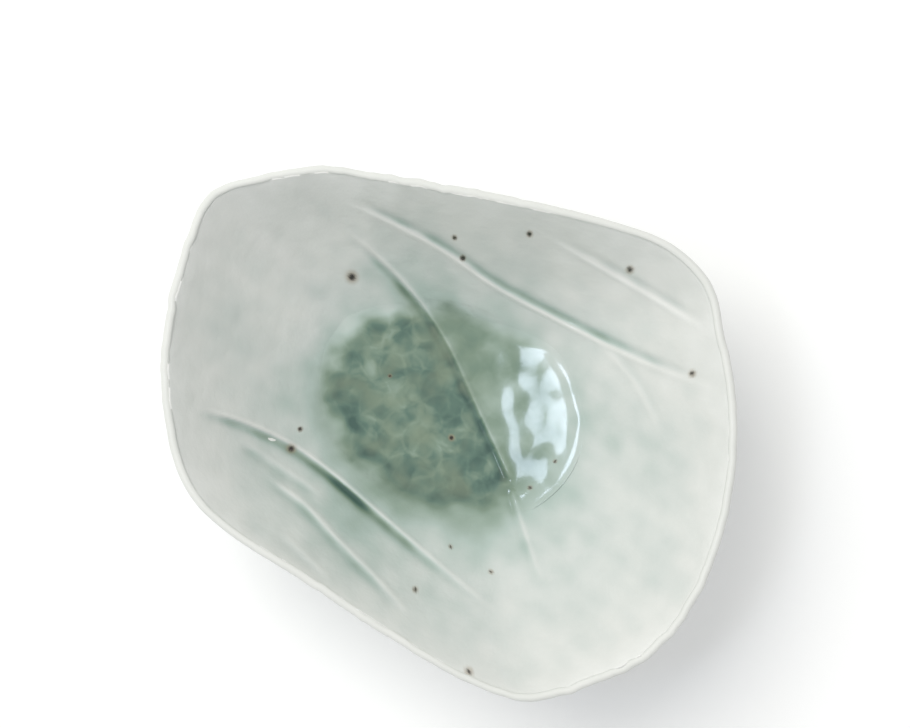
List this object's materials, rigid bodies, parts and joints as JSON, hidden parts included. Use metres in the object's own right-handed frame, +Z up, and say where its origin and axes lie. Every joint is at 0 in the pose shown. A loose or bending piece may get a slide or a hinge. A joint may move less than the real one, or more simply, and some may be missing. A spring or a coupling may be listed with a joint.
{
  "type": "hand-built tea bowl",
  "caption": "Wide open hand-built porcelain bowl with an uneven rim, creased celadon-glazed inside, a pool of glaze in the well and a raised foot ring.",
  "frame": {"origin": "middle of the bottom of the bounding box, on the table under the middle of the rim", "axes": "+Z up, +X along the rim's longest side, +Y across it"},
  "size_m": [0.1404, 0.1302, 0.056],
  "materials": {
    "porcelain": "fired white porcelain, smooth and faintly satin at the lip",
    "bare_foot": "unglazed fired porcelain, matt and slightly warm",
    "inner_celadon": "thin glossy pale blue-green celadon glaze",
    "outer_celadon": "thin glossy pale celadon glaze",
    "pooled_celadon": "thick pooled grey-green celadon glass, very glossy"
  },
  "bodies": {
    "root": {"bowl_body": "porcelain", "foot_ring": "bare_foot", "inner_glaze": "inner_celadon", "outer_glaze": "outer_celadon", "glaze_pool": "pooled_celadon"}
  },
  "joints": []
}
